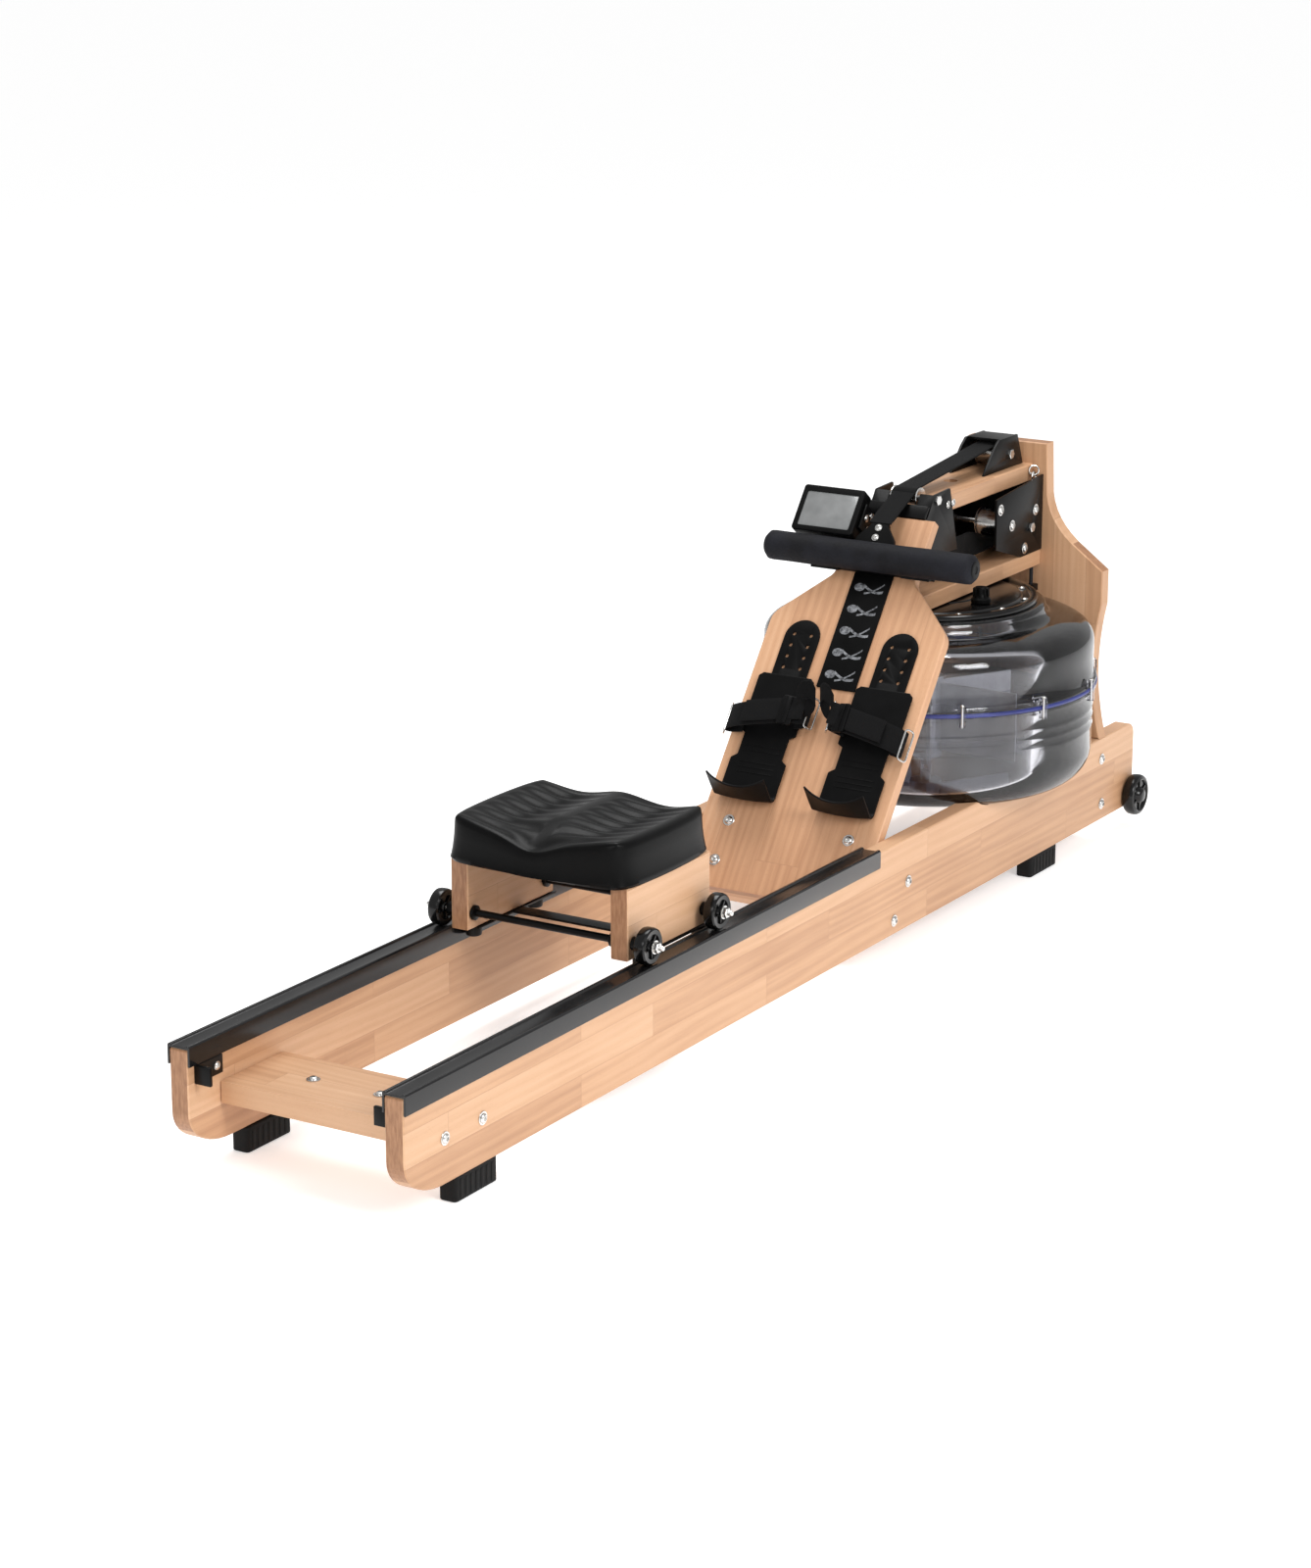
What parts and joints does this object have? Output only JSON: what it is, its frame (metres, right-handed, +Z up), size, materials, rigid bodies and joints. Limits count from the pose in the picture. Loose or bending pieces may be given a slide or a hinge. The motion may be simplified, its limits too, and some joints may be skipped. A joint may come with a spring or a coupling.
{
  "type": "rowing machine",
  "caption": "Wooden water rower: rolling seat on two rails, sloping footboard with sliding heel supports, clear paddle tank and a strap-pulled handle.",
  "frame": {"origin": "centre of the object's box, on the floor under the feet", "axes": "+Z up, +Y along the rails from the seat's rear end to the tank, +X to the rower's right"},
  "size_m": [0.508, 2.021, 0.6383],
  "materials": {
    "beech": "satin lacquer",
    "black_plastic": "satin",
    "black_steel": "powder coat",
    "stainless": "brushed",
    "rubber": "matt",
    "wheel_rubber": "matt",
    "webbing": "woven",
    "clear_shell": "clear smoke",
    "blue_gasket": "satin",
    "paddle_steel": "brushed",
    "grip_foam": "fine foam",
    "screen": "smooth",
    "seat_foam": "moulded",
    "gloss_wheel": "gloss"
  },
  "bodies": {
    "frame": {"rail_right": "beech", "rail_left": "beech", "rear_cross_board": "beech", "front_upright": "beech", "footboard": "beech", "footboard_crosspiece": "beech", "tank_shelf": "beech", "upper_beam": "beech", "track_right": "black_plastic", "track_left": "black_plastic", "footboard_insert": "black_plastic", "foot_track_right": "black_plastic", "foot_track_left": "black_plastic", "tank_hub_cover": "black_plastic", "handle_rest": "black_plastic", "end_stop_right": "black_steel", "end_stop_left": "black_steel", "roller_bracket": "black_steel", "pulley_housing": "black_steel", "drive_bracket": "black_steel", "monitor_bracket": "black_steel", "foot_rear_right": "rubber", "foot_rear_left": "rubber", "foot_front_right": "rubber", "foot_front_left": "rubber", "drive_strap": "webbing", "tank_lower_shell": "clear_shell", "tank_upper_shell": "clear_shell", "tank_gasket": "blue_gasket"},
    "seat": {"seat_pad": "seat_foam", "seat_panel_right": "beech", "seat_panel_left": "beech", "seat_axle_rear": "stainless", "seat_axle_front": "stainless", "guide_frame": "black_steel"},
    "handle": {"handle_grip": "grip_foam", "handle_yoke": "black_plastic", "pull_strap": "webbing"},
    "front_roller": {"front_roller": "stainless"},
    "top_pulley": {"top_pulley": "stainless"},
    "lower_pulley": {"lower_pulley": "stainless"},
    "drive_drum": {"drive_drum": "black_plastic"},
    "paddle": {"paddle": "paddle_steel"},
    "heel_right": {"heel_support_right": "black_plastic", "foot_strap_right": "webbing"},
    "heel_left": {"heel_support_left": "black_plastic", "foot_strap_left": "webbing"},
    "monitor": {"monitor_case": "black_plastic", "monitor_screen": "screen"},
    "fill_plug": {"fill_plug": "black_plastic"},
    "transport_wheel_right": {"transport_wheel_right": "gloss_wheel"},
    "transport_wheel_left": {"transport_wheel_left": "gloss_wheel"},
    "seat_wheel_rear_right": {"seat_wheel_rear_right": "wheel_rubber"},
    "guide_roller_rear_right": {"guide_roller_rear_right": "wheel_rubber"},
    "seat_wheel_rear_left": {"seat_wheel_rear_left": "wheel_rubber"},
    "guide_roller_rear_left": {"guide_roller_rear_left": "wheel_rubber"},
    "seat_wheel_front_right": {"seat_wheel_front_right": "wheel_rubber"},
    "guide_roller_front_right": {"guide_roller_front_right": "wheel_rubber"},
    "seat_wheel_front_left": {"seat_wheel_front_left": "wheel_rubber"},
    "guide_roller_front_left": {"guide_roller_front_left": "wheel_rubber"}
  },
  "joints": [
    {"name": "seat_slide", "type": "slide", "parent": "frame", "child": "seat", "axis": [0, 1, 0], "range_m": [-0.44, 0.36]},
    {"name": "seat_wheel_rear_right_spin", "type": "hinge", "parent": "seat", "child": "seat_wheel_rear_right", "pos_m": [0.158, -0.4525, 0.1955], "axis": [1, 0, 0], "continuous": true},
    {"name": "guide_roller_rear_right_spin", "type": "hinge", "parent": "seat", "child": "guide_roller_rear_right", "pos_m": [0.1298, -0.4225, 0.161], "axis": [0, 0, 1], "continuous": true},
    {"name": "seat_wheel_rear_left_spin", "type": "hinge", "parent": "seat", "child": "seat_wheel_rear_left", "pos_m": [-0.158, -0.4525, 0.1955], "axis": [1, 0, 0], "continuous": true},
    {"name": "guide_roller_rear_left_spin", "type": "hinge", "parent": "seat", "child": "guide_roller_rear_left", "pos_m": [-0.1298, -0.4225, 0.161], "axis": [0, 0, 1], "continuous": true},
    {"name": "seat_wheel_front_right_spin", "type": "hinge", "parent": "seat", "child": "seat_wheel_front_right", "pos_m": [0.158, -0.2805, 0.1955], "axis": [1, 0, 0], "continuous": true},
    {"name": "guide_roller_front_right_spin", "type": "hinge", "parent": "seat", "child": "guide_roller_front_right", "pos_m": [0.1298, -0.2765, 0.161], "axis": [0, 0, 1], "continuous": true},
    {"name": "seat_wheel_front_left_spin", "type": "hinge", "parent": "seat", "child": "seat_wheel_front_left", "pos_m": [-0.158, -0.2805, 0.1955], "axis": [1, 0, 0], "continuous": true},
    {"name": "guide_roller_front_left_spin", "type": "hinge", "parent": "seat", "child": "guide_roller_front_left", "pos_m": [-0.1298, -0.2765, 0.161], "axis": [0, 0, 1], "continuous": true},
    {"name": "handle_pull", "type": "slide", "parent": "frame", "child": "handle", "axis": [0, -0.9848, 0.1736], "range_m": [0, 1], "stiffness_N_per_m": 30, "springref_m": -1, "deforming": ["pull_strap"]},
    {"name": "front_roller_spin", "type": "hinge", "parent": "frame", "child": "front_roller", "pos_m": [0, 0.5345, 0.5893], "axis": [1, 0, 0], "continuous": true},
    {"name": "top_pulley_spin", "type": "hinge", "parent": "frame", "child": "top_pulley", "pos_m": [0, 0.8115, 0.6113], "axis": [1, 0, 0], "continuous": true},
    {"name": "lower_pulley_spin", "type": "hinge", "parent": "frame", "child": "lower_pulley", "pos_m": [0, 0.8195, 0.4993], "axis": [1, 0, 0], "continuous": true},
    {"name": "drive_drum_spin", "type": "hinge", "parent": "frame", "child": "drive_drum", "pos_m": [0, 0.6095, 0.4973], "axis": [0, 0, 1], "continuous": true},
    {"name": "paddle_spin", "type": "hinge", "parent": "frame", "child": "paddle", "pos_m": [0, 0.6095, 0.3], "axis": [0, 0, 1], "continuous": true},
    {"name": "heel_slide_right", "type": "slide", "parent": "frame", "child": "heel_right", "axis": [0, 0.6074, 0.7944], "range_m": [-0.015, 0.06]},
    {"name": "heel_slide_left", "type": "slide", "parent": "frame", "child": "heel_left", "axis": [0, 0.6074, 0.7944], "range_m": [-0.015, 0.06]},
    {"name": "monitor_tilt", "type": "hinge", "parent": "frame", "child": "monitor", "pos_m": [-0.036, 0.4638, 0.56558], "axis": [1, 0, 0], "range_deg": [-12, 12]},
    {"name": "transport_wheel_right_spin", "type": "hinge", "parent": "frame", "child": "transport_wheel_right", "pos_m": [0.1845, 0.9775, 0.0523], "axis": [1, 0, 0], "continuous": true},
    {"name": "transport_wheel_left_spin", "type": "hinge", "parent": "frame", "child": "transport_wheel_left", "pos_m": [-0.1845, 0.9775, 0.0523], "axis": [1, 0, 0], "continuous": true},
    {"name": "fill_plug_lift", "type": "slide", "parent": "frame", "child": "fill_plug", "axis": [0, 0, 1], "range_m": [0, 0.03]}
  ],
  "couplings": [
    {"joint": "seat_wheel_rear_right_spin", "follows": "seat_slide", "rad_per_m": -40},
    {"joint": "guide_roller_rear_right_spin", "follows": "seat_slide", "rad_per_m": -90.909},
    {"joint": "seat_wheel_rear_left_spin", "follows": "seat_slide", "rad_per_m": -40},
    {"joint": "guide_roller_rear_left_spin", "follows": "seat_slide", "rad_per_m": 90.909},
    {"joint": "seat_wheel_front_right_spin", "follows": "seat_slide", "rad_per_m": -40},
    {"joint": "guide_roller_front_right_spin", "follows": "seat_slide", "rad_per_m": -90.909},
    {"joint": "seat_wheel_front_left_spin", "follows": "seat_slide", "rad_per_m": -40},
    {"joint": "guide_roller_front_left_spin", "follows": "seat_slide", "rad_per_m": 90.909},
    {"joint": "front_roller_spin", "follows": "handle_pull", "rad_per_m": 76.923},
    {"joint": "top_pulley_spin", "follows": "handle_pull", "rad_per_m": 58.824},
    {"joint": "lower_pulley_spin", "follows": "handle_pull", "rad_per_m": 50},
    {"joint": "drive_drum_spin", "follows": "handle_pull", "rad_per_m": 33.333}
  ]
}
